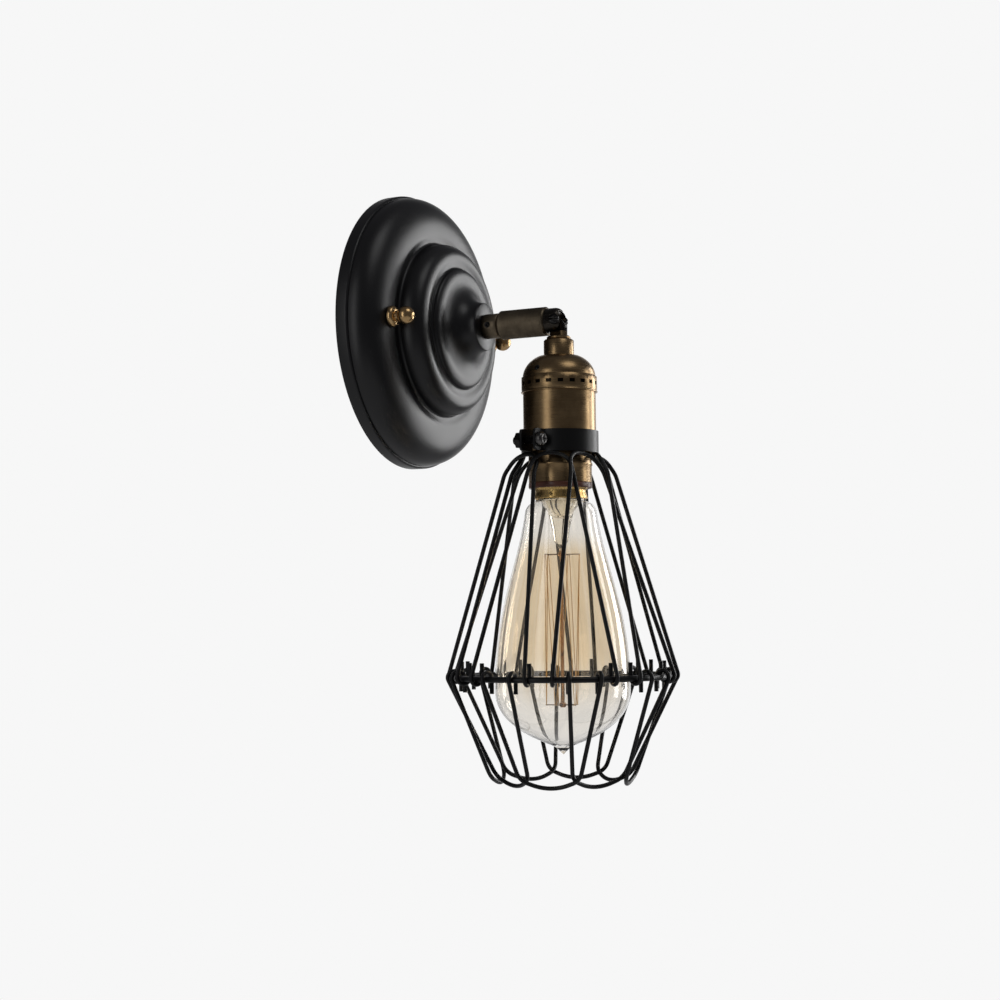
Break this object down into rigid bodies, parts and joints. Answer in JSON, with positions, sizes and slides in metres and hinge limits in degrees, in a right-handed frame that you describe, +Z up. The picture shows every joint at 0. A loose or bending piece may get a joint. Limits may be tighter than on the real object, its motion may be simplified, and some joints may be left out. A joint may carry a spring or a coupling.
{
  "type": "cage wall light",
  "caption": "Industrial wall light: stepped round wall plate, swivelling arm with a tilting knuckle, brass lamp holder, teardrop filament bulb and a folding wire cage.",
  "frame": {"origin": "centre of the wall plate's open back, on the wall plane, midway between the two wall screws", "axes": "+Y into the wall, so the light stands out towards -Y; +Z up; +X to the right for someone facing the wall"},
  "size_m": [0.135, 0.1382, 0.2877],
  "materials": {
    "black_canopy": "satin black paint",
    "zinc_steel": "zinc plated",
    "polished_brass": "polished",
    "plain_brass": "plain",
    "bulb_brass": "bright",
    "antique_brass": "antique bronze, lacquered",
    "dark_bronze": "dark bronze",
    "spring_steel": "blued",
    "black_steel": "black oxide",
    "black_wire_paint": "satin black paint",
    "terminal_plastic": "matt",
    "fibre_paper": "matt",
    "holder_ceramic": "glazed",
    "brown_moulding": "moulded, glossy",
    "bulb_black_glass": "black glass",
    "amber_glass": "clear, pale amber",
    "stem_glass": "clear",
    "support_wire": "drawn",
    "filament_gold": "matt"
  },
  "bodies": {
    "wall_plate": {"canopy": "black_canopy", "mounting_bracket": "zinc_steel", "fixing_screws": "zinc_steel", "ball_nuts": "polished_brass", "threaded_nipple": "zinc_steel", "nipple_washer": "zinc_steel", "nipple_nut": "zinc_steel", "terminal_block": "terminal_plastic", "earth_screw": "polished_brass", "arm_base": "dark_bronze", "base_set_screw": "dark_bronze", "swivel_clip": "spring_steel"},
    "arm": {"swivel_bush": "plain_brass", "knurled_sleeve": "dark_bronze", "arm_fork": "dark_bronze", "pivot_screws": "black_steel"},
    "lamp_head": {"knuckle_tongue": "antique_brass", "holder_collar": "antique_brass", "holder_cap": "antique_brass", "cap_screw": "black_steel", "holder_shell": "antique_brass", "holder_liner": "fibre_paper", "holder_core": "holder_ceramic", "contact_shell": "plain_brass", "centre_contact": "plain_brass", "insulating_ring": "brown_moulding", "bulb_cap": "bulb_brass", "bulb_insulator": "bulb_black_glass", "bulb_glass": "amber_glass", "bulb_stem": "stem_glass", "filament_supports": "support_wire", "filament": "filament_gold", "cage_band": "black_wire_paint", "band_screw": "black_steel", "band_nut": "black_steel", "cage_ring": "black_wire_paint", "upper_loop_1": "black_wire_paint", "upper_loop_2": "black_wire_paint", "upper_loop_3": "black_wire_paint", "upper_loop_4": "black_wire_paint", "upper_loop_5": "black_wire_paint", "upper_loop_6": "black_wire_paint", "upper_loop_7": "black_wire_paint", "upper_loop_8": "black_wire_paint"},
    "lower_loop_body_1": {"lower_loop_1": "black_wire_paint"},
    "lower_loop_body_2": {"lower_loop_2": "black_wire_paint"},
    "lower_loop_body_3": {"lower_loop_3": "black_wire_paint"},
    "lower_loop_body_4": {"lower_loop_4": "black_wire_paint"},
    "lower_loop_body_5": {"lower_loop_5": "black_wire_paint"},
    "lower_loop_body_6": {"lower_loop_6": "black_wire_paint"},
    "lower_loop_body_7": {"lower_loop_7": "black_wire_paint"},
    "lower_loop_body_8": {"lower_loop_8": "black_wire_paint"}
  },
  "joints": [
    {"name": "arm_swivel", "type": "hinge", "parent": "wall_plate", "child": "arm", "pos_m": [0, -0.0525, 0], "axis": [0, -1, 0], "range_deg": [-170, 170]},
    {"name": "knuckle_tilt", "type": "hinge", "parent": "arm", "child": "lamp_head", "pos_m": [0, -0.083, 0], "axis": [-1, 0, 0], "range_deg": [-2, 90]},
    {"name": "lower_loop_1_fold", "type": "hinge", "parent": "lamp_head", "child": "lower_loop_body_1", "pos_m": [0.04273, -0.07274, -0.1695], "axis": [0.2334, -0.9724, 0], "range_deg": [0, 60]},
    {"name": "lower_loop_2_fold", "type": "hinge", "parent": "lamp_head", "child": "lower_loop_body_2", "pos_m": [0.02296, -0.04553, -0.1695], "axis": [0.8526, -0.5225, 0], "range_deg": [0, 45]},
    {"name": "lower_loop_3_fold", "type": "hinge", "parent": "lamp_head", "child": "lower_loop_body_3", "pos_m": [-0.01026, -0.04027, -0.1695], "axis": [0.9724, 0.2334, 0], "range_deg": [0, 60]},
    {"name": "lower_loop_4_fold", "type": "hinge", "parent": "lamp_head", "child": "lower_loop_body_4", "pos_m": [-0.03747, -0.06004, -0.1695], "axis": [0.5225, 0.8526, 0], "range_deg": [0, 45]},
    {"name": "lower_loop_5_fold", "type": "hinge", "parent": "lamp_head", "child": "lower_loop_body_5", "pos_m": [-0.04273, -0.09326, -0.1695], "axis": [-0.2334, 0.9724, 0], "range_deg": [0, 60]},
    {"name": "lower_loop_6_fold", "type": "hinge", "parent": "lamp_head", "child": "lower_loop_body_6", "pos_m": [-0.02296, -0.12047, -0.1695], "axis": [-0.8526, 0.5225, 0], "range_deg": [0, 45]},
    {"name": "lower_loop_7_fold", "type": "hinge", "parent": "lamp_head", "child": "lower_loop_body_7", "pos_m": [0.01026, -0.12573, -0.1695], "axis": [-0.9724, -0.2334, 0], "range_deg": [0, 60]},
    {"name": "lower_loop_8_fold", "type": "hinge", "parent": "lamp_head", "child": "lower_loop_body_8", "pos_m": [0.03747, -0.10596, -0.1695], "axis": [-0.5225, -0.8526, 0], "range_deg": [0, 45]}
  ],
  "couplings": [
    {"joint": "lower_loop_2_fold", "follows": "lower_loop_1_fold", "ratio": 0.75},
    {"joint": "lower_loop_3_fold", "follows": "lower_loop_1_fold", "ratio": 1},
    {"joint": "lower_loop_4_fold", "follows": "lower_loop_1_fold", "ratio": 0.75},
    {"joint": "lower_loop_5_fold", "follows": "lower_loop_1_fold", "ratio": 1},
    {"joint": "lower_loop_6_fold", "follows": "lower_loop_1_fold", "ratio": 0.75},
    {"joint": "lower_loop_7_fold", "follows": "lower_loop_1_fold", "ratio": 1},
    {"joint": "lower_loop_8_fold", "follows": "lower_loop_1_fold", "ratio": 0.75}
  ]
}
